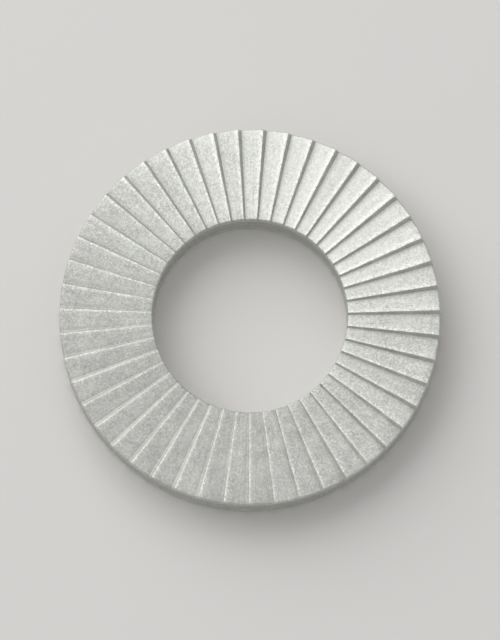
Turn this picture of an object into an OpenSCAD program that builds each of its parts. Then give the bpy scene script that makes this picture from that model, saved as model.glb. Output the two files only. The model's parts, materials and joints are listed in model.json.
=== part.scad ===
// Wedge lock washer pair for an M12 bolt, wide pattern.
// Two identical coined steel washers lie cam face to cam face, and a thin glue line holds them together.
// The origin is on the bolt axis, in the plane that the lower teeth stand on, and +Z points up the bolt.

/* [Blank] */
// Bore, a clearance hole for an M12 bolt
bore_d = 13; // [12.5:0.1:14.5]
// Outside diameter of the wide pattern
outer_d = 25.4; // [22:0.1:30]
// Height of the closed pair over its tooth crests
pair_h = 3.4; // [2.8:0.05:5]
// Chamfer that breaks the two rims of the toothed face
rim_chamfer = 0.12; // [0.02:0.01:0.3]

/* [Radial teeth] */
// Number of teeth on each outer face
tooth_count = 47; // [30:1:60]
// Depth of the tooth valleys at the outer rim
tooth_depth = 0.32; // [0.15:0.01:0.45]
// Width of the flat crest of a tooth at the outer rim
crest_w = 0.1; // [0.04:0.01:0.3]
// Width in plan of the steep biting flank at the outer rim
bite_w = 0.2; // [0.05:0.01:0.4]

/* [Wedge cams] */
// Number of cams on each inner face
cam_count = 12; // [6:1:16]
// Rise of one cam from its root to its top, so that all cams together rise by more than the thread pitch
cam_rise = 0.3; // [0.15:0.01:0.5]
// Width in plan of the steep cam back at the outer rim
cam_back_w = 0.12; // [0.05:0.01:0.3]
// Clearance between the backs of meshing cams at the outer rim
cam_back_gap = 0.05; // [0.02:0.01:0.2]
// Thickness of the glue line between the two cam faces
glue_gap = 0.02; // [0.02:0.01:0.1]

/* [Hidden] */
$fn = 180;

bore_r = bore_d / 2;
outer_r = outer_d / 2;
coating = [0.83, 0.84, 0.82];

// The blocks that shape the two faces reach past the blank by this much
reach = 0.8;

// Angles in degrees that the widths at the outer rim stand for
function rim_angle(width) = width / outer_r * 180 / PI;
tooth_pitch = 360 / tooth_count;
bite_angle = rim_angle(bite_w);
crest_angle = rim_angle(crest_w);
cam_pitch = 360 / cam_count;
cam_back_angle = rim_angle(cam_back_w);
cam_gap_angle = rim_angle(cam_back_gap);
cam_ramp_angle = cam_pitch - cam_back_angle;

// The upper washer is turned until the cam backs stand their clearance apart
mesh_turn = cam_back_angle + cam_gap_angle;
// Thickness of one washer from its tooth crests to its cam roots, which gives the closed pair its height
root_h = (pair_h - glue_gap - cam_rise * (1 + cam_gap_angle / cam_ramp_angle)) / 2;
// Depth below the crests that clears the cam tops
below_h = root_h + cam_rise + reach;

// Facets along one cam ramp
ramp_steps = 12;

function polar(r, angle, z) = [r * cos(angle), r * sin(angle), z];

// Plain ring with its tooth crests in the plane z = 0 and its rims chamfered on that side.
// It stands proud above and below, where the teeth and the cams cut it.
module blank() {
    rotate_extrude()
        polygon([
            [bore_r, -below_h],
            [outer_r, -below_h],
            [outer_r, -rim_chamfer],
            [outer_r - rim_chamfer - reach, reach],
            [bore_r + rim_chamfer + reach, reach],
            [bore_r, -rim_chamfer]
        ]);
}

// Everything below the saw teeth. Each flank is a flat fan from one point on the axis, so the teeth run
// dead radially and grow deeper towards the rim. Seen from above, the steep flank of each tooth faces
// clockwise and bites when a right-hand bolt starts to turn loose.
module toothed_block() {
    r = outer_r + reach;
    valley_z = -tooth_depth * r / outer_r;
    crown = [
        for (i = [0 : tooth_count - 1], corner = [
            [0, valley_z],
            [bite_angle, 0],
            [bite_angle + crest_angle, 0]
        ]) polar(r, i * tooth_pitch + corner[0], corner[1])
    ];
    base = [for (p = crown) [p[0], p[1], -below_h - reach]];
    n = len(crown);
    polyhedron(
        points = concat([[0, 0, 0]], crown, base),
        faces = concat(
            [for (i = [0 : n - 1]) [0, 1 + (i + 1) % n, 1 + i]],
            [for (i = [0 : n - 1]) [1 + i, 1 + (i + 1) % n, 1 + n + (i + 1) % n, 1 + n + i]],
            [[for (i = [0 : n - 1]) 1 + n + i]]
        )
    );
}

// Everything above the wedge cams. Each ramp is a stretch of helicoid, level along every radius, so that
// two meshing washers stay in full contact while one climbs the other.
module cam_block() {
    r_in = bore_r - reach;
    r_out = outer_r + reach;
    stations = [
        for (k = [0 : cam_count - 1], j = [0 : ramp_steps])
            [k * cam_pitch + j * cam_ramp_angle / ramp_steps, -root_h - cam_rise * (1 - j / ramp_steps)]
    ];
    n = len(stations);
    corners = [
        for (s = stations, c = [[r_in, s[1]], [r_out, s[1]], [r_out, 2 * reach], [r_in, 2 * reach]])
            polar(c[0], s[0], c[1])
    ];
    function at(i, corner) = 4 * (i % n) + corner;
    polyhedron(
        points = corners,
        faces = [
            for (i = [0 : n - 1], face = [
                [at(i, 0), at(i, 1), at(i + 1, 1)],
                [at(i, 0), at(i + 1, 1), at(i + 1, 0)],
                [at(i, 2), at(i + 1, 2), at(i + 1, 1), at(i, 1)],
                [at(i, 3), at(i + 1, 3), at(i + 1, 2), at(i, 2)],
                [at(i + 1, 3), at(i, 3), at(i, 0), at(i + 1, 0)]
            ]) face
        ]
    );
}

// One washer with its teeth up, its crests in the plane z = 0 and its cams below
module washer() {
    color(coating)
        intersection() {
            blank();
            toothed_block();
            cam_block();
        }
}

module lower_washer() {
    rotate([180, 0, 0]) washer();
}

module upper_washer() {
    translate([0, 0, pair_h]) rotate([0, 0, mesh_turn]) washer();
}

lower_washer();
upper_washer();
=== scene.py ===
# %% [markdown]
# A wedge lock washer pair
#
# Two identical steel washers lie cam face to cam face under a bolt head. Their outer faces carry radial saw
# teeth, and a matte silver-grey zinc flake coating covers them all over. The frame already holds both washers
# at their real size. This lesson rebuilds each of them with soft edges and the small flaws of a pressed part,
# gives it the coating, and lights it.

# %% Load the frame
import json
import math

import bpy
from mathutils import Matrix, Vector


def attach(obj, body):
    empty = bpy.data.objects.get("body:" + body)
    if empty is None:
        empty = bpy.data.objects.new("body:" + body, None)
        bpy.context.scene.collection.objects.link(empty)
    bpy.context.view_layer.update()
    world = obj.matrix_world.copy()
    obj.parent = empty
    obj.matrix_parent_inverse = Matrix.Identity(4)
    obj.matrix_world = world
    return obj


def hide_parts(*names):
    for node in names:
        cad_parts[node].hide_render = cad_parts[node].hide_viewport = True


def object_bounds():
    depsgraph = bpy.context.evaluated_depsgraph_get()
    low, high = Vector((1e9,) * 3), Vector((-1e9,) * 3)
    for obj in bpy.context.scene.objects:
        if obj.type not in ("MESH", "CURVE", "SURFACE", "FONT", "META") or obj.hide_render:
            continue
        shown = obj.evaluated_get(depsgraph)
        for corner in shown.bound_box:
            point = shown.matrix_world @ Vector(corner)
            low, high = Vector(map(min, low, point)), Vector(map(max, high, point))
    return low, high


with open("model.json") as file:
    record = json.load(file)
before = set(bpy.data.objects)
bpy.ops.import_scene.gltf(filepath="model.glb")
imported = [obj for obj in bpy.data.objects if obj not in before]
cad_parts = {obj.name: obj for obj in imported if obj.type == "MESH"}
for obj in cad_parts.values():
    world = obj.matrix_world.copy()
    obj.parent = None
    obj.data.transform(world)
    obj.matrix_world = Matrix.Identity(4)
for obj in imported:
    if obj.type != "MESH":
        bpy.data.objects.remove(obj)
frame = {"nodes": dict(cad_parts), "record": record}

cad_low, cad_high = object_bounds()
record = frame["record"]
print("nodes:", sorted(frame["nodes"]))
print("box in mm:", [round(side * 1000, 3) for side in cad_high - cad_low])

# %% [markdown]
# The sizes of one washer
#
# The outside, the height and the bore can be read from the frame, so they are never typed twice. The counts
# and the depths of the relief can't be read from a box. They are written here once, as on the drawing of the
# washer, and every later cell works from these names. Lengths are in metres, and MM stands for a millimetre.

# %% Sizes
MM = 0.001
bore_mount = next(mount for mount in record["mounts"] if mount["kind"] == "bore")
BORE_RADIUS = bore_mount["dims"]["r_mm"] * MM
OUTER_RADIUS = (cad_high.x - cad_low.x) / 2
PAIR_HEIGHT = cad_high.z - cad_low.z

TOOTH_COUNT = 47
TOOTH_DEPTH = 0.32 * MM
CREST_WIDTH = 0.1 * MM
BITE_WIDTH = 0.2 * MM
CAM_COUNT = 12
CAM_RISE = 0.3 * MM
CAM_BACK_WIDTH = 0.12 * MM
CAM_BACK_GAP = 0.05 * MM
GLUE_GAP = 0.02 * MM

rim_length = 2 * math.pi * OUTER_RADIUS
cam_ramp_width = rim_length / CAM_COUNT - CAM_BACK_WIDTH
mesh_lift = CAM_RISE * CAM_BACK_GAP / cam_ramp_width
WASHER_HEIGHT = (PAIR_HEIGHT - GLUE_GAP - mesh_lift + CAM_RISE) / 2
MESH_TURN = (CAM_BACK_WIDTH + CAM_BACK_GAP) / OUTER_RADIUS
print("one washer is", round(WASHER_HEIGHT / MM, 3), "mm high over its teeth and cams")

# %% [markdown]
# Helpers for node trees
#
# The washers and their coating are both made by node trees. Trees can be drawn by hand in Blender's editors,
# but written as code they can be read and changed line by line. A few helpers keep that short. `place` adds a
# node and fills its sockets, `calc` adds a Math node, `ramp` goes from 0 to 1 between two values, and
# `new_tree` makes a node group with named inputs, which show up as sliders in Blender.

# %% Node helpers
def fill(tree, socket, value):
    """Links a socket to another socket, or sets it to a plain value."""
    if isinstance(value, bpy.types.NodeSocket):
        tree.links.new(value, socket)
    else:
        socket.default_value = value


def place(tree, kind, options=None, **sockets):
    """Adds a node. Socket names are written with underscores instead of spaces."""
    node = tree.nodes.new(kind)
    for option, choice in (options or {}).items():
        setattr(node, option, choice)
    for name, value in sockets.items():
        fill(tree, node.inputs[name.replace("_", " ")], value)
    return node


def calc(tree, operation, *values):
    """Adds a Math node and returns its result."""
    node = place(tree, "ShaderNodeMath", {"operation": operation})
    for socket, value in zip(node.inputs, values):
        fill(tree, socket, value)
    return node.outputs["Value"]


def ramp(tree, value, start, end):
    """Goes from 0 at start to 1 at end and stays there. The end may be the lower one."""
    node = place(tree, "ShaderNodeMapRange", {"clamp": True}, Value=value, From_Min=start, From_Max=end)
    return node.outputs["Result"]


print("node helpers are ready")

# %% Group helpers
def new_tree(name, inputs, outputs):
    """Makes a geometry node group and returns it with its inner input sockets."""
    tree = bpy.data.node_groups.new(name, "GeometryNodeTree")
    for label, kind in inputs:
        tree.interface.new_socket(label, in_out="INPUT", socket_type="NodeSocket" + kind)
    for label, kind in outputs:
        tree.interface.new_socket(label, in_out="OUTPUT", socket_type="NodeSocket" + kind)
    entry = tree.nodes.new("NodeGroupInput")
    return tree, entry.outputs


def hand_out(tree, label, socket):
    """Connects a socket to one output of a node group."""
    end = tree.nodes.new("NodeGroupOutput")
    tree.links.new(socket, end.inputs[label])


print("group helpers are ready")

# %% [markdown]
# A soft saw wave
#
# Teeth and cams are the same kind of shape: a saw that rises on one straight flank, may run level for a
# moment, and falls on another straight flank. It could be drawn as a profile and swept, but a formula is
# easier to bend round a ring. Each flank is a straight line, and the lower of two lines makes a crest. The
# Smooth Minimum of two lines makes a crest with a rounded edge, as a coining die leaves it. The Smooth
# Maximum with the flanks of the teeth before and after rounds the valleys in the same way.

# %% Saw wave
def make_saw_wave():
    """Height of a soft saw wave, from 0 in its valleys to its full height on its crests."""
    tree, size = new_tree(
        "soft_saw_wave",
        [("Along", "Float"), ("Pitch", "Float"), ("Rise Width", "Float"), ("Top Width", "Float"),
         ("Height", "Float"), ("Crest Softness", "Float"), ("Valley Softness", "Float")],
        [("Height", "Float")],
    )
    along = calc(tree, "FLOORED_MODULO", size["Along"], size["Pitch"])
    left = calc(tree, "SUBTRACT", size["Pitch"], along)
    rise_and_top = calc(tree, "ADD", size["Rise Width"], size["Top Width"])
    fall_width = calc(tree, "SUBTRACT", size["Pitch"], rise_and_top)
    rise_slope = calc(tree, "DIVIDE", size["Height"], size["Rise Width"])
    fall_slope = calc(tree, "DIVIDE", size["Height"], fall_width)

    rise = calc(tree, "MULTIPLY", along, rise_slope)
    fall = calc(tree, "MULTIPLY", left, fall_slope)
    ridge = calc(tree, "SMOOTH_MIN", rise, fall, size["Crest Softness"])
    tooth = calc(tree, "SMOOTH_MIN", ridge, size["Height"], size["Crest Softness"])

    fall_before = calc(tree, "MULTIPLY", calc(tree, "MULTIPLY", along, -1.0), fall_slope)
    rise_after = calc(tree, "MULTIPLY", calc(tree, "MULTIPLY", left, -1.0), rise_slope)
    valley = calc(tree, "SMOOTH_MAX", tooth, fall_before, size["Valley Softness"])
    valley = calc(tree, "SMOOTH_MAX", valley, rise_after, size["Valley Softness"])
    hand_out(tree, "Height", valley)
    return tree


saw_wave = make_saw_wave()
print("saw wave:", len(saw_wave.nodes), "nodes")

# %% [markdown]
# Where the columns of the mesh stand
#
# The washer's mesh is a grid bent into a ring, and its columns run from the bore to the rim. Evenly spaced
# columns would miss the narrow flanks or need hundreds of thousands of faces. So each tooth, and each cam on
# the other face, asks for columns where its shape bends. A broken line, added up from clamped ramps, turns
# the number of a column within its tooth into a place along the rim. The two lists are then joined, columns
# that nearly coincide are merged, and the rest are sorted.

# %% A row of columns
HALF_STEP = 0.5


def groups_before(tree, index, group_size):
    """How many whole groups come before an index. Half a step keeps rounding errors out."""
    return calc(tree, "FLOOR", calc(tree, "DIVIDE", calc(tree, "ADD", index, HALF_STEP), group_size))


def broken_line(tree, value, corners):
    """A line through (value, result) corners, as a sum of clamped ramps."""
    total = corners[0][1]
    for (start, low), (end, high) in zip(corners, corners[1:]):
        step = calc(tree, "SUBTRACT", high, low)
        total = calc(tree, "MULTIPLY_ADD", ramp(tree, value, start, end), step, total)
    return total


def column_line(tree, repeats, pitch, corners):
    """One point for each column that a row of teeth or cams asks for, placed along the rim."""
    steps = corners[-1][0]
    line = place(tree, "GeometryNodeMeshLine", Count=calc(tree, "MULTIPLY", repeats, steps))
    index = place(tree, "GeometryNodeInputIndex").outputs["Index"]
    number = groups_before(tree, index, steps)
    step = calc(tree, "SUBTRACT", index, calc(tree, "MULTIPLY", number, steps))
    along = calc(tree, "MULTIPLY_ADD", number, pitch, broken_line(tree, step, corners))
    spot = place(tree, "ShaderNodeCombineXYZ", X=along)
    moved = place(tree, "GeometryNodeSetPosition", Geometry=line.outputs["Mesh"],
                  Position=spot.outputs["Vector"])
    return moved.outputs["Geometry"]


print("a row of columns can be laid out")

# %% Columns of one tooth and one cam
TOOTH_COLUMNS = 19
CAM_COLUMNS = 12
VALLEY_REACH = 0.06 * MM
EDGE_REACH = 0.04 * MM
CREST_FALL = 0.12 * MM


def tooth_corners(tree, size, pitch):
    """Columns of one tooth: round its valley, up the bite, over the crest and down the long flank."""
    bite = size["Bite Width"]
    crest_end = calc(tree, "ADD", bite, size["Crest Width"])
    return [
        (0, -VALLEY_REACH),
        (4, VALLEY_REACH),
        (6, calc(tree, "SUBTRACT", bite, EDGE_REACH)),
        (10, calc(tree, "ADD", bite, EDGE_REACH)),
        (14, calc(tree, "ADD", crest_end, CREST_FALL)),
        (TOOTH_COLUMNS, calc(tree, "SUBTRACT", pitch, VALLEY_REACH)),
    ]


def cam_corners(tree, size, pitch):
    """Columns of one cam: round its foot, along the ramp, over the top and down its back."""
    ramp_end = calc(tree, "SUBTRACT", pitch, size["Cam Back Width"])
    return [
        (0, -EDGE_REACH),
        (2, EDGE_REACH),
        (9, calc(tree, "SUBTRACT", ramp_end, EDGE_REACH)),
        (11, calc(tree, "ADD", ramp_end, EDGE_REACH)),
        (CAM_COLUMNS, calc(tree, "SUBTRACT", pitch, EDGE_REACH)),
    ]


print("a tooth asks for", TOOTH_COLUMNS, "columns and a cam for", CAM_COLUMNS)

# %% All columns in order
MERGE_REACH = 0.012 * MM


def sorted_columns(tree, size, pitch):
    """All columns of the washer in order along the rim, as points of a mesh, and their place along it."""
    teeth = column_line(tree, size["Tooth Count"], pitch["tooth"], tooth_corners(tree, size, pitch["tooth"]))
    cams = column_line(tree, size["Cam Count"], pitch["cam"], cam_corners(tree, size, pitch["cam"]))
    both = place(tree, "GeometryNodeJoinGeometry")
    tree.links.new(teeth, both.inputs["Geometry"])
    tree.links.new(cams, both.inputs["Geometry"])
    merged = place(tree, "GeometryNodeMergeByDistance", Geometry=both.outputs["Geometry"],
                   Distance=MERGE_REACH)
    spot = place(tree, "GeometryNodeInputPosition").outputs["Position"]
    along = place(tree, "ShaderNodeSeparateXYZ", Vector=spot).outputs["X"]
    in_order = place(tree, "GeometryNodeSortElements", Geometry=merged.outputs["Geometry"], Sort_Weight=along)
    return in_order.outputs["Geometry"], along


most_columns = TOOTH_COUNT * TOOTH_COLUMNS + CAM_COUNT * CAM_COLUMNS
print("up to", most_columns, "columns, merged where they are closer than", MERGE_REACH / MM, "mm")

# %% [markdown]
# The section of the ring
#
# A real washer starts as a plain ring, blanked from strip and tumbled until its rims are slightly round. The
# section could be typed as a list of points. Here it is a rectangle with filleted corners, so that the radii
# on the toothed side and on the cam side stay sliders. The runs between the fillets are cut into rows, with
# more of them on the two walls, where the sheared surface needs them.

# %% Rows of the section
FILLET_STEPS = 5
FACE_CUTS = 8
WALL_CUTS = 15
CORNER_POINTS = FILLET_STEPS + 1
SECTION_POINTS = 4 * CORNER_POINTS + 2 * (FACE_CUTS + WALL_CUTS)


def cuts_after_corner(tree):
    """Cuts in the run that starts at each point: none within a fillet, and more on a wall than on a face."""
    index = place(tree, "GeometryNodeInputIndex").outputs["Index"]
    step_in_fillet = calc(tree, "MODULO", index, CORNER_POINTS)
    starts_run = calc(tree, "GREATER_THAN", step_in_fillet, FILLET_STEPS - HALF_STEP)
    # Going round the section, every other run is a wall
    is_wall = calc(tree, "MODULO", groups_before(tree, index, CORNER_POINTS), 2.0)
    cuts = calc(tree, "MULTIPLY_ADD", is_wall, WALL_CUTS - FACE_CUTS, FACE_CUTS)
    return calc(tree, "MULTIPLY", starts_run, cuts)


print("a face has", FACE_CUTS, "cuts and a wall", WALL_CUTS)

# %% Section
def capture(tree, geometry, kind, label, value):
    """Stores a value on each point, and returns the geometry and the stored value."""
    node = place(tree, "GeometryNodeCaptureAttribute", Geometry=geometry)
    node.capture_items.new(kind, label)
    tree.links.new(value, node.inputs[label])
    return node.outputs["Geometry"], node.outputs[label]


def rounded_section(tree, size):
    """Section of the ring, and the place of each of its points in it, counted from its middle."""
    outline = place(tree, "GeometryNodeCurvePrimitiveQuadrilateral", Height=size["Washer Height"],
                    Width=calc(tree, "SUBTRACT", size["Outer Radius"], size["Bore Radius"]))
    spot = place(tree, "GeometryNodeInputPosition").outputs["Position"]
    height = place(tree, "ShaderNodeSeparateXYZ", Vector=spot).outputs["Y"]
    radius = place(tree, "GeometryNodeSwitch", {"input_type": "FLOAT"},
                   Switch=calc(tree, "GREATER_THAN", height, 0.0),
                   **{"False": size["Cam Rim Radius"], "True": size["Tooth Rim Radius"]})
    rounded = place(tree, "GeometryNodeFilletCurve", {"mode": "POLY"}, Curve=outline.outputs["Curve"],
                    Count=FILLET_STEPS, Radius=radius.outputs["Output"])
    cut = place(tree, "GeometryNodeSubdivideCurve", Curve=rounded.outputs["Curve"],
                Cuts=cuts_after_corner(tree))
    return capture(tree, cut.outputs["Curve"], "VECTOR", "Section", spot)


print("the section has", SECTION_POINTS, "points")

# %% [markdown]
# The plain ring
#
# This is the blank before it is coined. It could be turned with the Screw modifier, but only at even steps.
# Curve to Mesh sweeps the section round a circle that has one point for each column instead, which gives a
# closed mesh without a seam. The faces of that sweep point inwards, so they are flipped. Each point remembers
# its column and its place in the section. From these comes where it belongs: how far along the rim, at which
# angle, how far from the axis and how high. Two weights say how much of the tooth relief and of the cam
# relief a point follows. Both fade out half way down the wall.

# %% Blank ring
def swept_ring(tree, columns, section):
    """Sweeps the section round a circle with one point for each column."""
    count = place(tree, "GeometryNodeAttributeDomainSize", Geometry=columns).outputs["Point Count"]
    circle = place(tree, "GeometryNodeCurvePrimitiveCircle", Resolution=count).outputs["Curve"]
    index = place(tree, "GeometryNodeInputIndex").outputs["Index"]
    circle, column = capture(tree, circle, "INT", "Column", index)
    ring = place(tree, "GeometryNodeCurveToMesh", Curve=circle, Profile_Curve=section)
    outward = place(tree, "GeometryNodeFlipFaces", Mesh=ring.outputs["Mesh"])
    return outward.outputs["Mesh"], column


def place_on_ring(tree, size, columns, along_rim, column, in_section):
    """Where each point belongs, and how much of the relief on the two faces it follows."""
    along = place(tree, "GeometryNodeSampleIndex", {"data_type": "FLOAT", "domain": "POINT"},
                  Geometry=columns, Value=along_rim, Index=column).outputs["Value"]
    spot = place(tree, "ShaderNodeSeparateXYZ", Vector=in_section).outputs
    mean_radius = calc(tree, "MULTIPLY", calc(tree, "ADD", size["Outer Radius"], size["Bore Radius"]), 0.5)
    half_way = calc(tree, "MULTIPLY", size["Washer Height"], -0.5)
    height = calc(tree, "ADD", spot["Y"], half_way)
    tooth_rim = calc(tree, "MULTIPLY", size["Tooth Rim Radius"], -1.0)
    cam_rim = calc(tree, "SUBTRACT", size["Cam Rim Radius"], size["Washer Height"])
    return {
        "along": along,
        "angle": calc(tree, "DIVIDE", along, size["Outer Radius"]),
        "radius": calc(tree, "ADD", mean_radius, spot["X"]),
        "height": height,
        "tooth weight": ramp(tree, height, half_way, tooth_rim),
        "cam weight": ramp(tree, height, half_way, cam_rim),
    }


print("the ring has up to", most_columns * SECTION_POINTS, "points")

# %% [markdown]
# Teeth and cams
#
# The relief of each face is one saw wave. It could be cut with a boolean for each tooth, but those leave thin
# faces that shade badly. The teeth bite into the bolt head, and they grow deeper towards the rim because the
# die's grooves all point at the axis. No press fills every tooth alike, so a random factor with a fixed seed
# takes up to two hundredths of a millimetre off each. The cams stay level along every radius, so that the two
# washers keep contact while one climbs the other.

# %% Waves and random numbers for the relief
# The Random Value node has an output for each kind of number, and this one is the float
RANDOM_FLOAT = 1


def saw(tree, along, pitch, rise, top, height, crest_softness, valley_softness):
    """Uses the saw wave group once."""
    node = place(tree, "GeometryNodeGroup", {"node_tree": saw_wave}, Along=along, Pitch=pitch,
                 Rise_Width=rise, Top_Width=top, Height=height, Crest_Softness=crest_softness,
                 Valley_Softness=valley_softness)
    return node.outputs["Height"]


def chance_of_tooth(tree, at, pitch, seed):
    """A random number from 0 to 1 for each tooth."""
    along = calc(tree, "FLOORED_MODULO", at["along"], pitch["rim"])
    number = calc(tree, "FLOOR", calc(tree, "DIVIDE", along, pitch["tooth"]))
    chance = place(tree, "FunctionNodeRandomValue", {"data_type": "FLOAT"}, ID=number, Seed=seed)
    return chance.outputs[RANDOM_FLOAT]


print("each of the", TOOTH_COUNT, "teeth can draw its own random numbers")

# %% Relief of the two faces
CREST_SOFTNESS = 0.03 * MM
VALLEY_SOFTNESS = 0.08 * MM
CAM_SOFTNESS = 0.05 * MM
HEIGHT_SEED = 7


def tooth_height(tree, size, at, pitch):
    """Height of the teeth over their valleys, as at the rim."""
    tooth = saw(tree, at["along"], pitch["tooth"], size["Bite Width"], size["Crest Width"],
                size["Tooth Depth"], CREST_SOFTNESS, VALLEY_SOFTNESS)
    missing = calc(tree, "MULTIPLY", chance_of_tooth(tree, at, pitch, HEIGHT_SEED), size["Unevenness"])
    return calc(tree, "MULTIPLY", tooth, calc(tree, "SUBTRACT", 1.0, missing))


def cam_height(tree, size, at, pitch):
    """Height of the cam face over the tips of the cams, which point down."""
    ramp_width = calc(tree, "SUBTRACT", pitch["cam"], size["Cam Back Width"])
    return saw(tree, at["along"], pitch["cam"], ramp_width, 0.0, size["Cam Rise"], CAM_SOFTNESS, CAM_SOFTNESS)


print("teeth rise", TOOTH_DEPTH / MM, "mm and cams", CAM_RISE / MM, "mm")

# %% [markdown]
# Coining
#
# A press coins both reliefs into the ring. Set Position does the same here: each point is bent round the axis
# to its own angle and moved up or down by the two waves. The edges of real teeth are never dead straight, so
# a noise turns the toothed side by a hundredth of a millimetre or two here and there. Turning keeps every
# point at its radius, so the washer can't outgrow its outside diameter.

# %% Noise and turning
WAVE_DETAIL = 2.0
# Noises and random numbers run from 0 to 1, and this is their middle
MID_VALUE = 0.5


def wave(tree, width, where=None):
    """A noise around 0 at the given width, at the point's own place unless another is given."""
    node = place(tree, "ShaderNodeTexNoise", Scale=1 / width, Detail=WAVE_DETAIL)
    if where is not None:
        tree.links.new(where, node.inputs["Vector"])
    return calc(tree, "SUBTRACT", node.outputs["Fac"], MID_VALUE)


def round_the_axis(tree, radius, angle, height):
    """Turns a radius, an angle and a height into a place."""
    spot = place(tree, "ShaderNodeCombineXYZ", X=calc(tree, "MULTIPLY", radius, calc(tree, "COSINE", angle)),
                 Y=calc(tree, "MULTIPLY", radius, calc(tree, "SINE", angle)), Z=height)
    return spot.outputs["Vector"]


print("noises swing around", MID_VALUE)

# %% Coining
WANDER_WIDTH = 0.8 * MM


def coin(tree, size, ring, at, tooth, cam):
    """Bends the ring round the axis and presses the teeth and the cams into it."""
    deeper = calc(tree, "DIVIDE", at["radius"], size["Outer Radius"])
    press = calc(tree, "MULTIPLY", calc(tree, "SUBTRACT", tooth, size["Tooth Depth"]), deeper)
    height = calc(tree, "MULTIPLY_ADD", press, at["tooth weight"], at["height"])
    height = calc(tree, "MULTIPLY_ADD", cam, at["cam weight"], height)
    plain = round_the_axis(tree, at["radius"], at["angle"], at["height"])
    shift = calc(tree, "MULTIPLY", wave(tree, WANDER_WIDTH, plain), at["tooth weight"])
    turn = calc(tree, "DIVIDE", calc(tree, "MULTIPLY", shift, size["Wander"]), size["Outer Radius"])
    angle = calc(tree, "ADD", at["angle"], turn)
    coined = place(tree, "GeometryNodeSetPosition", Geometry=ring,
                   Position=round_the_axis(tree, at["radius"], angle, height))
    return coined.outputs["Geometry"]


print("tooth edges wander over", WANDER_WIDTH / MM, "mm")

# %% [markdown]
# Sheared walls
#
# The walls were sheared, not coined. Next to the toothed face the punch left a smooth band. From there on the
# steel tore and broke back a little, so the wall steps in along a ragged line and is lumpy behind it. A bump
# in the material could fake that, but a real step also catches the light at the edge of the silhouette. The
# second cell also gives all faces a faint waviness. Both only push inwards, so the washer stays inside its
# frame.

# %% Torn band of the walls
TEAR_WIDTH = 0.5 * MM
TEAR_EDGE = 0.25
RAGGEDNESS = 0.9
ON_RIM = 0.99


def wall_of(tree, at):
    """1 on the walls and 0 on the faces and rims."""
    below_teeth = calc(tree, "LESS_THAN", at["tooth weight"], ON_RIM)
    above_cams = calc(tree, "LESS_THAN", at["cam weight"], ON_RIM)
    return calc(tree, "MULTIPLY", below_teeth, above_cams)


def torn_band(tree, at):
    """1 where the wall is torn and 0 elsewhere, with a ragged edge a little above half height."""
    up_the_wall = calc(tree, "SUBTRACT", at["tooth weight"], at["cam weight"])
    ragged = calc(tree, "MULTIPLY_ADD", wave(tree, TEAR_WIDTH), RAGGEDNESS, up_the_wall)
    return calc(tree, "MULTIPLY", wall_of(tree, at), ramp(tree, ragged, TEAR_EDGE, 0.0))


print("torn patches are about", TEAR_WIDTH / MM, "mm wide")

# %% Breaking back
LUMPY_WIDTH = 0.25 * MM
LUMPINESS = 2.0
WAVE_WIDTH = 1.4 * MM
CAM_EDGE = 0.85


def break_back(tree, size, geometry, at, torn):
    """Pushes the torn band in, and every face by a faint waviness."""
    up_to_edge = ramp(tree, at["cam weight"], 1.0, CAM_EDGE)
    lumpy = calc(tree, "MULTIPLY_ADD", wave(tree, LUMPY_WIDTH), LUMPINESS, 1.0)
    tear = calc(tree, "MULTIPLY", calc(tree, "MULTIPLY", torn, up_to_edge), lumpy)
    tear = calc(tree, "MULTIPLY", tear, size["Tear Depth"])
    ripple = calc(tree, "ADD", wave(tree, WAVE_WIDTH), MID_VALUE)
    depth = calc(tree, "MULTIPLY_ADD", ripple, size["Waviness"], tear)
    normal = place(tree, "GeometryNodeInputNormal").outputs["Normal"]
    push = place(tree, "ShaderNodeVectorMath", {"operation": "SCALE"}, Vector=normal,
                 Scale=calc(tree, "MULTIPLY", depth, -1.0))
    pushed = place(tree, "GeometryNodeSetPosition", Geometry=geometry, Offset=push.outputs["Vector"])
    return pushed.outputs["Geometry"]


print("lumps of the torn band are about", LUMPY_WIDTH / MM, "mm wide")

# %% [markdown]
# Marks for the coating
#
# The coating looks different on a rubbed crest, in a valley, on each flank and on a torn wall. Painting these
# places by hand or guessing them from the shape in the shader would be less exact. The tree knows where they
# are, so it stores them as named attributes, and the material reads them back. The groove between the two
# washers counts as a valley, so it gets the same dust and painted shade. All walls get painted shade too.

# %% Marks
CREST_FROM = 0.8
VALLEY_UP_TO = 0.25
SHADE_SEED = 11


def keep(tree, geometry, label, value):
    """Stores a named attribute that the coating can read."""
    node = place(tree, "GeometryNodeStoreNamedAttribute", {"data_type": "FLOAT", "domain": "POINT"},
                 Geometry=geometry, Name=label, Value=value)
    return node.outputs["Geometry"]


def mark(tree, size, geometry, at, pitch, tooth, torn):
    """Stores where crests, valleys, walls and torn bands are, and a shade for each flank."""
    relief = calc(tree, "DIVIDE", tooth, size["Tooth Depth"])
    on_teeth = calc(tree, "GREATER_THAN", at["tooth weight"], ON_RIM)
    crest = calc(tree, "MULTIPLY", on_teeth, ramp(tree, relief, CREST_FROM, 1.0))
    # Valleys and the groove between the washers take dust and painted shade in the coating
    valley = calc(tree, "MULTIPLY", on_teeth, ramp(tree, relief, VALLEY_UP_TO, 0.0))
    groove = calc(tree, "GREATER_THAN", at["cam weight"], ON_RIM)
    flank = calc(tree, "SUBTRACT", chance_of_tooth(tree, at, pitch, SHADE_SEED), MID_VALUE)
    marks = {
        "crest": crest,
        "valley": calc(tree, "MAXIMUM", valley, groove),
        "flank": calc(tree, "MULTIPLY_ADD", flank, on_teeth, MID_VALUE),
        "wall": wall_of(tree, at),
        "torn": torn,
    }
    for label, value in marks.items():
        geometry = keep(tree, geometry, label, value)
    return geometry


print("crests start at", CREST_FROM, "of the tooth depth")

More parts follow.
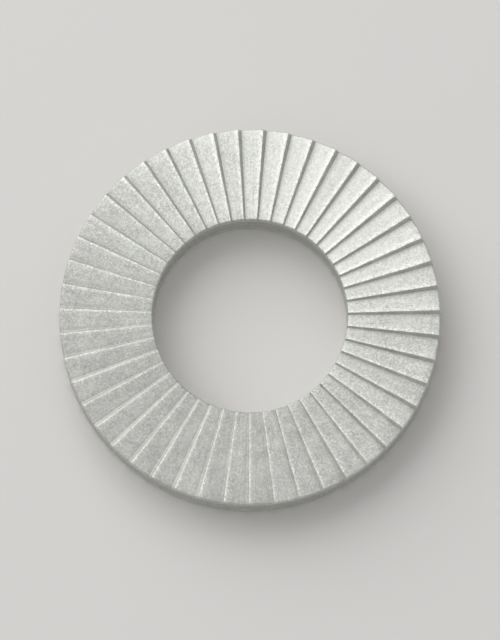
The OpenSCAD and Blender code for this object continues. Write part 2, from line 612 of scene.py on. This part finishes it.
# %% [markdown]
# The washer tree
#
# Now the steps come together in one tree, in the order of the workshop: lay out, blank, coin, shear, mark.
# Each step could be a modifier of its own, but one tree needs each size only once. The washer is built with
# its teeth up and its crests at height 0, then turned and lifted into place. All sizes are inputs of the
# tree, so one tree makes both washers and could make those for another bolt.

# %% Inputs of the washer tree
WASHER_INPUTS = [
    ("Bore Radius", "Float"), ("Outer Radius", "Float"), ("Washer Height", "Float"),
    ("Tooth Rim Radius", "Float"), ("Cam Rim Radius", "Float"),
    ("Tooth Count", "Int"), ("Tooth Depth", "Float"), ("Crest Width", "Float"), ("Bite Width", "Float"),
    ("Cam Count", "Int"), ("Cam Rise", "Float"), ("Cam Back Width", "Float"),
    ("Unevenness", "Float"), ("Wander", "Float"), ("Waviness", "Float"), ("Tear Depth", "Float"),
    ("Turn", "Rotation"), ("Lift", "Vector"), ("Coating", "Material"),
]
print("the washer tree has", len(WASHER_INPUTS), "inputs")

# %% Washer tree
def make_washer_tree():
    """Builds one washer and puts it in its place."""
    tree, size = new_tree("coined_washer", WASHER_INPUTS, [("Washer", "Geometry")])
    rim = calc(tree, "MULTIPLY", size["Outer Radius"], 2 * math.pi)
    pitch = {
        "rim": rim,
        "tooth": calc(tree, "DIVIDE", rim, size["Tooth Count"]),
        "cam": calc(tree, "DIVIDE", rim, size["Cam Count"]),
    }
    columns, along_rim = sorted_columns(tree, size, pitch)
    section, in_section = rounded_section(tree, size)
    ring, column = swept_ring(tree, columns, section)
    at = place_on_ring(tree, size, columns, along_rim, column, in_section)
    tooth = tooth_height(tree, size, at, pitch)
    cam = cam_height(tree, size, at, pitch)
    torn = torn_band(tree, at)

    washer = coin(tree, size, ring, at, tooth, cam)
    washer = break_back(tree, size, washer, at, torn)
    washer = mark(tree, size, washer, at, pitch, tooth, torn)
    smooth = place(tree, "GeometryNodeSetShadeSmooth", Geometry=washer)
    placed = place(tree, "GeometryNodeTransform", Geometry=smooth.outputs["Geometry"],
                   Rotation=size["Turn"], Translation=size["Lift"])
    real = place(tree, "GeometryNodeRealizeInstances", Geometry=placed.outputs["Geometry"])
    coated = place(tree, "GeometryNodeSetMaterial", Geometry=real.outputs["Geometry"],
                   Material=size["Coating"])
    hand_out(tree, "Washer", coated.outputs["Geometry"])
    return tree


washer_tree = make_washer_tree()
print("washer tree:", len(washer_tree.nodes), "nodes")

# %% [markdown]
# Patterns of the coating
#
# The coating is a thin lacquer full of tiny zinc and aluminium flakes. From a step away it is a matte silver
# grey. Close up it has a fine grain, cloudy patches where the flakes lie differently, a few small lumps, and
# faint streaks that the die left along the teeth and the punch left down the walls. An image could be wrapped
# round the washer instead, but procedural patterns have no seams and stay sharp at any distance. Streaks have
# to follow the ring, so they are drawn in polar coordinates: the way along the rim, the radius and the
# height.

# %% Clouds, grain and streaks
CLOUD_WIDTH = 0.9 * MM
CLOUD_DETAIL = 3.0
GRAIN_WIDTH = 0.16 * MM
GRAIN_DETAIL = 2.0
STREAK_WIDTH = 0.07 * MM
STREAK_LENGTH = 2.2 * MM
STREAK_DETAIL = 2.0


def noise(tree, where, scale, detail):
    """A noise pattern around 0.5."""
    node = place(tree, "ShaderNodeTexNoise", Vector=where, Scale=scale, Detail=detail)
    return node.outputs["Fac"]


def streaks(tree, where):
    """Fine streaks that run along the radius on the faces and up and down on the walls."""
    spot = place(tree, "ShaderNodeSeparateXYZ", Vector=where).outputs
    angle = calc(tree, "ARCTAN2", spot["Y"], spot["X"])
    flat = place(tree, "ShaderNodeCombineXYZ", X=spot["X"], Y=spot["Y"]).outputs["Vector"]
    radius = place(tree, "ShaderNodeVectorMath", {"operation": "LENGTH"}, Vector=flat).outputs["Value"]
    polar = place(tree, "ShaderNodeCombineXYZ",
                  X=calc(tree, "MULTIPLY", angle, OUTER_RADIUS / STREAK_WIDTH),
                  Y=calc(tree, "MULTIPLY", radius, 1 / STREAK_LENGTH),
                  Z=calc(tree, "MULTIPLY", spot["Z"], 1 / STREAK_LENGTH))
    return noise(tree, polar.outputs["Vector"], 1.0, STREAK_DETAIL)


print("grain is", GRAIN_WIDTH / MM, "mm wide and streaks", STREAK_WIDTH / MM, "mm")

# %% Lumps and flakes
LUMP_SPACING = 0.8 * MM
LUMP_WIDTH = 0.1 * MM
LUMP_CHANCE = 0.5
FLAKE_WIDTH = 0.075 * MM
FLAKE_LEAN = 0.3


def lumps(tree, where):
    """Sparse small lumps of dried lacquer, 1 at their middle and 0 around them."""
    cells = place(tree, "ShaderNodeTexVoronoi", Vector=where, Scale=1 / LUMP_SPACING).outputs
    lump = ramp(tree, cells["Distance"], LUMP_WIDTH / LUMP_SPACING, 0.0)
    chance = place(tree, "ShaderNodeSeparateXYZ", Vector=cells["Color"]).outputs["X"]
    return calc(tree, "MULTIPLY", lump, calc(tree, "LESS_THAN", chance, LUMP_CHANCE))


def flake_lean(tree, where):
    """A small random lean for each flake, to be added to the surface normal."""
    cells = place(tree, "ShaderNodeTexVoronoi", Vector=where, Scale=1 / FLAKE_WIDTH).outputs["Color"]
    centred = place(tree, "ShaderNodeVectorMath", {"operation": "SUBTRACT"})
    fill(tree, centred.inputs[0], cells)
    fill(tree, centred.inputs[1], (MID_VALUE, MID_VALUE, MID_VALUE))
    lean = place(tree, "ShaderNodeVectorMath", {"operation": "SCALE"}, Vector=centred.outputs["Vector"],
                 Scale=FLAKE_LEAN)
    return lean.outputs["Vector"]


print("flakes are", FLAKE_WIDTH / MM, "mm wide")

# %% [markdown]
# The colour of the coating
#
# The colour is one grey, made lighter and darker. Each pattern could have a colour of its own, but then small
# changes would shift the hue. So all patterns are added up to one tone, and the tone mixes a dark and a light
# shade of the grey. Then come the places that the press and the punch made: valleys and the groove between
# the washers are darker with dust and painted shade, all walls are darker with painted shade, crests are
# rubbed bright, and torn walls are dull.

# %% Mixing colours
BASE_COLOUR = record["materials"][0]["base_color"]
# The Mix node repeats its socket names for each kind of value, so those for colours are picked by number
MIX_AMOUNT = 0
MIX_FIRST = 6
MIX_SECOND = 7
MIX_RESULT = 2


def shade_of(factor):
    """The coating's own colour, made lighter or darker."""
    return [min(channel * factor, 1.0) for channel in BASE_COLOUR] + [1.0]


def mix_colour(tree, amount, first, second):
    """Mixes two colours and returns the result."""
    node = place(tree, "ShaderNodeMix", {"data_type": "RGBA"})
    fill(tree, node.inputs[MIX_AMOUNT], amount)
    fill(tree, node.inputs[MIX_FIRST], first)
    fill(tree, node.inputs[MIX_SECOND], second)
    return node.outputs[MIX_RESULT]


print("base colour:", [round(channel, 3) for channel in BASE_COLOUR])

# %% Mixing amounts
NOISE_LOW = 0.35
NOISE_HIGH = 0.65


def swing(tree, pattern, amount, total):
    """Adds a pattern, counted from its middle value, to a running total."""
    return calc(tree, "MULTIPLY_ADD", calc(tree, "SUBTRACT", pattern, MID_VALUE), amount, total)


def between(tree, amount, low, high):
    """Goes from low to high as an amount goes from 0 to 1."""
    return calc(tree, "MULTIPLY_ADD", amount, high - low, low)


def harden(tree, pattern):
    """Stretches a noise so that it reaches 0 and 1."""
    return ramp(tree, pattern, NOISE_LOW, NOISE_HIGH)


print("a hardened noise is full from", NOISE_HIGH, "up and gone from", NOISE_LOW, "down")

# %% Tone
CLOUD_TONE = 1.1
GRAIN_TONE = 0.9
FLANK_TONE = 0.2
STREAK_TONE = 0.5
WALL_STREAK_TONE = 1.4


def coating_tone(tree, pattern, mark_of):
    """How light the coating is, from 0 for the dark shade to 1 for the light one."""
    tone = swing(tree, pattern["cloud"], CLOUD_TONE, MID_VALUE)
    tone = swing(tree, pattern["grain"], GRAIN_TONE, tone)
    tone = swing(tree, mark_of["flank"], FLANK_TONE, tone)
    streak_tone = between(tree, mark_of["wall"], STREAK_TONE, WALL_STREAK_TONE)
    return swing(tree, pattern["streak"], streak_tone, tone)


print("streaks weigh", STREAK_TONE, "on the faces and", WALL_STREAK_TONE, "on the walls")

# %% Colour
DARK_SHADE = 0.8
LIGHT_SHADE = 1.24
# Dull lumps and torn bands, and the painted shade on all walls, mix towards this colour
DULL_AND_PAINTED_SHADE = 0.7
# Dust and painted shade in the valleys and in the groove between the washers
VALLEY_DUST_AND_SHADE_TONE = 0.6
CREST_SHADE = 1.3
LUMP_DULLNESS = 0.5
# How much dust and painted shade the valleys and the groove take
VALLEY_DUST_AND_SHADE_AMOUNT = 0.45
# How much painted shade darkens all walls
WALL_PAINTED_SHADE = 0.2
TORN_DULLNESS_LOW = 0.25
TORN_DULLNESS_HIGH = 0.85


def coating_colour(tree, pattern, mark_of):
    """Colour of the coating from its patterns and from the marks that the washer tree stored."""
    mottled = between(tree, harden(tree, pattern["grain"]), TORN_DULLNESS_HIGH, TORN_DULLNESS_LOW)
    # Lumps and torn bands are dull, the walls get painted shade, and valleys and the groove get dust and
    # painted shade
    layers = [
        (calc(tree, "MULTIPLY", pattern["lump"], LUMP_DULLNESS), DULL_AND_PAINTED_SHADE),
        (calc(tree, "MULTIPLY", mark_of["valley"], VALLEY_DUST_AND_SHADE_AMOUNT), VALLEY_DUST_AND_SHADE_TONE),
        (calc(tree, "MULTIPLY", mark_of["crest"], pattern["grain"]), CREST_SHADE),
        (calc(tree, "MULTIPLY", mark_of["wall"], WALL_PAINTED_SHADE), DULL_AND_PAINTED_SHADE),
        (calc(tree, "MULTIPLY", mark_of["torn"], mottled), DULL_AND_PAINTED_SHADE),
    ]
    tone = coating_tone(tree, pattern, mark_of)
    colour = mix_colour(tree, tone, shade_of(DARK_SHADE), shade_of(LIGHT_SHADE))
    for amount, shade in layers:
        colour = mix_colour(tree, amount, colour, shade_of(shade))
    return colour


print("shades run from", DARK_SHADE, "to", LIGHT_SHADE, "of the base colour")

# %% [markdown]
# Gloss and grain
#
# Most of what makes the coating look like metal is how it takes the light. It is a rough metal surface, a
# little smoother on the crests and rougher where the wall is torn. Plain grey paint would need no more than a
# colour. Here a bump gives the grain, the lumps and the streaks some depth, and each flake also leans its own
# way. So some flakes flash and others stay dark, and that sparkle tells the coating from paint.

# %% Roughness
ROUGHNESS = 0.6
CLOUD_ROUGHNESS = 0.25
CREST_POLISH = 0.14
TORN_ROUGHNESS = 0.12


def coating_roughness(tree, pattern, mark_of):
    """Roughness of the coating."""
    rough = swing(tree, pattern["cloud"], CLOUD_ROUGHNESS, ROUGHNESS)
    rough = calc(tree, "MULTIPLY_ADD", mark_of["crest"], -CREST_POLISH, rough)
    return calc(tree, "MULTIPLY_ADD", mark_of["torn"], TORN_ROUGHNESS, rough)


print("roughness is about", ROUGHNESS)

# %% Fine relief
BUMP_DEPTH = 0.02 * MM
BUMP_STRENGTH = 0.35
GRAIN_RELIEF = 1.0
TORN_RELIEF = 3.5
STREAK_RELIEF = 0.5
WALL_STREAK_RELIEF = 2.5
LUMP_RELIEF = 0.8


def coating_normal(tree, where, pattern, mark_of):
    """Surface normal of the coating, with its fine relief and its leaning flakes."""
    grain_relief = between(tree, mark_of["torn"], GRAIN_RELIEF, TORN_RELIEF)
    streak_relief = between(tree, mark_of["wall"], STREAK_RELIEF, WALL_STREAK_RELIEF)
    height = swing(tree, pattern["grain"], grain_relief, MID_VALUE)
    height = swing(tree, pattern["streak"], streak_relief, height)
    height = calc(tree, "MULTIPLY_ADD", pattern["lump"], LUMP_RELIEF, height)
    bump = place(tree, "ShaderNodeBump", Strength=BUMP_STRENGTH, Distance=BUMP_DEPTH, Height=height)
    leaning = place(tree, "ShaderNodeVectorMath", {"operation": "ADD"})
    fill(tree, leaning.inputs[0], bump.outputs["Normal"])
    fill(tree, leaning.inputs[1], flake_lean(tree, where))
    normal = place(tree, "ShaderNodeVectorMath", {"operation": "NORMALIZE"},
                   Vector=leaning.outputs["Vector"])
    return normal.outputs["Vector"]


print("the grain is", BUMP_DEPTH / MM, "mm deep at full strength")

# %% Coating
MARKS = ("crest", "valley", "flank", "wall", "torn")
METALLIC = 0.8
TORN_FRAY = 1.2


def make_coating():
    """Matte silver-grey zinc flake coating, from the patterns and marks above."""
    material = bpy.data.materials.new("zinc_flake_coating")
    material.use_nodes = True
    tree = material.node_tree
    surface = tree.nodes["Principled BSDF"]
    where = place(tree, "ShaderNodeTexCoord").outputs["Object"]
    pattern = {
        "cloud": noise(tree, where, 1 / CLOUD_WIDTH, CLOUD_DETAIL),
        "grain": noise(tree, where, 1 / GRAIN_WIDTH, GRAIN_DETAIL),
        "streak": streaks(tree, where),
        "lump": lumps(tree, where),
    }
    mark_of = {}
    for label in MARKS:
        mark_of[label] = place(tree, "ShaderNodeAttribute", {"attribute_name": label}).outputs["Fac"]
    mark_of["torn"] = harden(tree, swing(tree, pattern["grain"], TORN_FRAY, mark_of["torn"]))

    surface.inputs["Metallic"].default_value = METALLIC
    fill(tree, surface.inputs["Base Color"], coating_colour(tree, pattern, mark_of))
    fill(tree, surface.inputs["Roughness"], coating_roughness(tree, pattern, mark_of))
    fill(tree, surface.inputs["Normal"], coating_normal(tree, where, pattern, mark_of))
    return material


coating = make_coating()
print("coating:", len(coating.node_tree.nodes), "nodes")

# %% [markdown]
# Two washers from one tree
#
# The two washers of a pair are the same part. The mesh of one could be copied and turned over, but the tree
# can place each of them itself. The upper one is turned a little about the bolt axis, so that its cams sit in
# those of the lower one, and lifted to the top. The lower one is turned over. A modifier's inputs are set by
# their identifiers, then the result is copied into a plain mesh, because modifiers don't travel with a model.

# %% Sizes of the washer tree
washer_sizes = {
    "Bore Radius": BORE_RADIUS,
    "Outer Radius": OUTER_RADIUS,
    "Washer Height": WASHER_HEIGHT,
    "Tooth Rim Radius": 0.12 * MM,
    "Cam Rim Radius": 0.1 * MM,
    "Tooth Count": TOOTH_COUNT,
    "Tooth Depth": TOOTH_DEPTH,
    "Crest Width": CREST_WIDTH,
    "Bite Width": BITE_WIDTH,
    "Cam Count": CAM_COUNT,
    "Cam Rise": CAM_RISE,
    "Cam Back Width": CAM_BACK_WIDTH,
    "Unevenness": 0.05,
    "Wander": 0.06 * MM,
    "Waviness": 0.008 * MM,
    "Tear Depth": 0.035 * MM,
    "Coating": coating,
}
print("both washers share", len(washer_sizes), "inputs of the tree")

# %% Make the washers
def make_washer(name, turn, lift):
    """Makes one washer as a plain mesh in its final place."""
    washer = bpy.data.objects.new(name, bpy.data.meshes.new(name))
    bpy.context.scene.collection.objects.link(washer)
    modifier = washer.modifiers.new("coining", "NODES")
    modifier.node_group = washer_tree
    values = dict(washer_sizes, Turn=turn, Lift=lift)
    for socket in washer_tree.interface.items_tree:
        if socket.in_out == "INPUT":
            modifier[socket.identifier] = values[socket.name]
    depsgraph = bpy.context.evaluated_depsgraph_get()
    washer.data = bpy.data.meshes.new_from_object(
        washer.evaluated_get(depsgraph), preserve_all_data_layers=True, depsgraph=depsgraph)
    washer.modifiers.clear()
    washer.data.name = name
    print(name, "has", len(washer.data.polygons), "faces")
    return washer


upper = make_washer("upper_washer_coined", (0.0, 0.0, MESH_TURN), (0.0, 0.0, cad_high.z))
lower = make_washer("lower_washer_coined", (math.pi, 0.0, 0.0), (0.0, 0.0, cad_low.z))

# %% [markdown]
# Joining the frame
#
# Each new washer stands for the plain one of the frame, which is hidden. They could ride on bodies of their
# own, but a real pair is glued and moves as one piece, so both ride on the frame's one body.

# %% Stand for the frame's washers
for washer, node in ((upper, "upper_washer"), (lower, "lower_washer")):
    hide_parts(node)
    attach(washer, "root")
    print(washer.name, "stands for", node)

# %% [markdown]
# The floor
#
# The pair lies on a plain pale floor, like a sheet of card in a small studio. A curved backdrop would also
# do, but the camera looks down so steeply that one large flat face fills the view. It lies a hair below the
# teeth, so that the two never share a plane.

# %% Floor
FLOOR_SIDE = 1.5
FLOOR_COLOUR = (0.75, 0.738, 0.72, 1.0)
FLOOR_ROUGHNESS = 0.9
FLOOR_DROP = 0.01 * MM


def make_floor():
    """A large plain sheet just under the lower teeth."""
    half = FLOOR_SIDE / 2
    mesh = bpy.data.meshes.new("floor")
    corners = [(-half, -half), (half, -half), (half, half), (-half, half)]
    mesh.from_pydata([(x, y, cad_low.z - FLOOR_DROP) for x, y in corners], [], [(0, 1, 2, 3)])
    floor = bpy.data.objects.new("floor", mesh)
    bpy.context.scene.collection.objects.link(floor)
    material = bpy.data.materials.new("pale_floor")
    material.use_nodes = True
    surface = material.node_tree.nodes["Principled BSDF"]
    surface.inputs["Base Color"].default_value = FLOOR_COLOUR
    surface.inputs["Roughness"].default_value = FLOOR_ROUGHNESS
    mesh.materials.append(material)
    return floor


make_floor()
print("floor is", FLOOR_SIDE, "m wide")

# %% [markdown]
# The light
#
# One large soft lamp from the upper left brings out the teeth: the flanks that face it turn bright, and those
# that face away turn grey. The world adds the light of a pale ceiling that fades towards the horizon. An even
# world would be simpler, but metal mirrors its surroundings, and the fade gives the walls and the flanks
# different tones. Together they light a level surface a little under 1, so colours come out about as written.

# %% World
HORIZON_GLOW = 0.1
ZENITH_GLOW = 0.72
# On a level surface the glow at the zenith counts twice as much as the glow at the horizon
WORLD_SHARE = (HORIZON_GLOW + 2 * ZENITH_GLOW) / 3


def make_world():
    """Soft white light from above that fades towards the horizon, as under a studio ceiling."""
    world = bpy.data.worlds.new("studio")
    world.use_nodes = True
    tree = world.node_tree
    background = tree.nodes["Background"]
    background.inputs["Color"].default_value = (1.0, 1.0, 1.0, 1.0)
    looking = place(tree, "ShaderNodeTexCoord").outputs["Generated"]
    upward = place(tree, "ShaderNodeSeparateXYZ", Vector=looking).outputs["Z"]
    glow = place(tree, "ShaderNodeMapRange", {"clamp": True}, Value=upward, To_Min=HORIZON_GLOW,
                 To_Max=ZENITH_GLOW)
    fill(tree, background.inputs["Strength"], glow.outputs["Result"])
    bpy.context.scene.world = world


make_world()
print("world share:", round(WORLD_SHARE, 2))

# %% Aiming
PAIR_MIDDLE = (cad_low + cad_high) / 2


def direction(azimuth, elevation):
    """Unit vector towards an azimuth, counted from +X, and an elevation."""
    flat = math.cos(elevation)
    return Vector((flat * math.cos(azimuth), flat * math.sin(azimuth), math.sin(elevation)))


def aim_at_pair(thing, azimuth, elevation, distance):
    """Puts a lamp or a camera into the scene and turns it to look at the pair."""
    thing.location = PAIR_MIDDLE + direction(azimuth, elevation) * distance
    thing.rotation_mode = "QUATERNION"
    thing.rotation_quaternion = (PAIR_MIDDLE - thing.location).to_track_quat("-Z", "Y")
    bpy.context.scene.collection.objects.link(thing)


print("middle of the pair in mm:", [round(coordinate / MM, 3) for coordinate in PAIR_MIDDLE])

# %% Key lamp
KEY_SHARE = 1.0 - WORLD_SHARE
KEY_AZIMUTH = math.radians(130)
KEY_ELEVATION = math.radians(42)
KEY_DISTANCE = 0.5
KEY_SIDE = 0.55


def make_key():
    """A soft square lamp, strong enough to give about its share of the light on a level surface."""
    lamp = bpy.data.lights.new("key", "AREA")
    lamp.size = KEY_SIDE
    # A small lamp gives a spot power / (pi * distance ** 2), and white looks as bright as its light / pi
    lamp.energy = math.pi ** 2 * KEY_DISTANCE ** 2 * KEY_SHARE / math.sin(KEY_ELEVATION)
    key = bpy.data.objects.new("key", lamp)
    aim_at_pair(key, KEY_AZIMUTH, KEY_ELEVATION, KEY_DISTANCE)
    return lamp.energy


print("key lamp:", round(make_key(), 2), "W")

# %% [markdown]
# The camera
#
# The camera looks down steeply, as in the photograph. A short lens close by would make the near rim look
# larger than the far one. So it stands well back with a long lens, which is worked out from the width that
# the pair should take in the frame.

# %% Camera
FRAME_WIDTH = 500
FRAME_HEIGHT = 640
CAMERA_ELEVATION = math.radians(80)
CAMERA_AZIMUTH = math.radians(-90)
CAMERA_DISTANCE = 0.4
NEAR_LIMIT = 0.01
PAIR_SHARE = 0.76


def make_camera():
    """A long lens at the photograph's viewing angle, with the pair across most of the frame's width."""
    data = bpy.data.cameras.new("camera")
    view_height = 2 * OUTER_RADIUS / PAIR_SHARE * FRAME_HEIGHT / FRAME_WIDTH
    # The frame is taller than it is wide, so the width of the sensor counts for its height
    data.lens = data.sensor_width * CAMERA_DISTANCE / view_height
    data.clip_start = NEAR_LIMIT
    camera = bpy.data.objects.new("camera", data)
    aim_at_pair(camera, CAMERA_AZIMUTH, CAMERA_ELEVATION, CAMERA_DISTANCE)
    bpy.context.scene.camera = camera
    return data.lens


print("lens:", round(make_camera(), 1), "mm")
bpy.context.scene.view_settings.view_transform = "Standard"
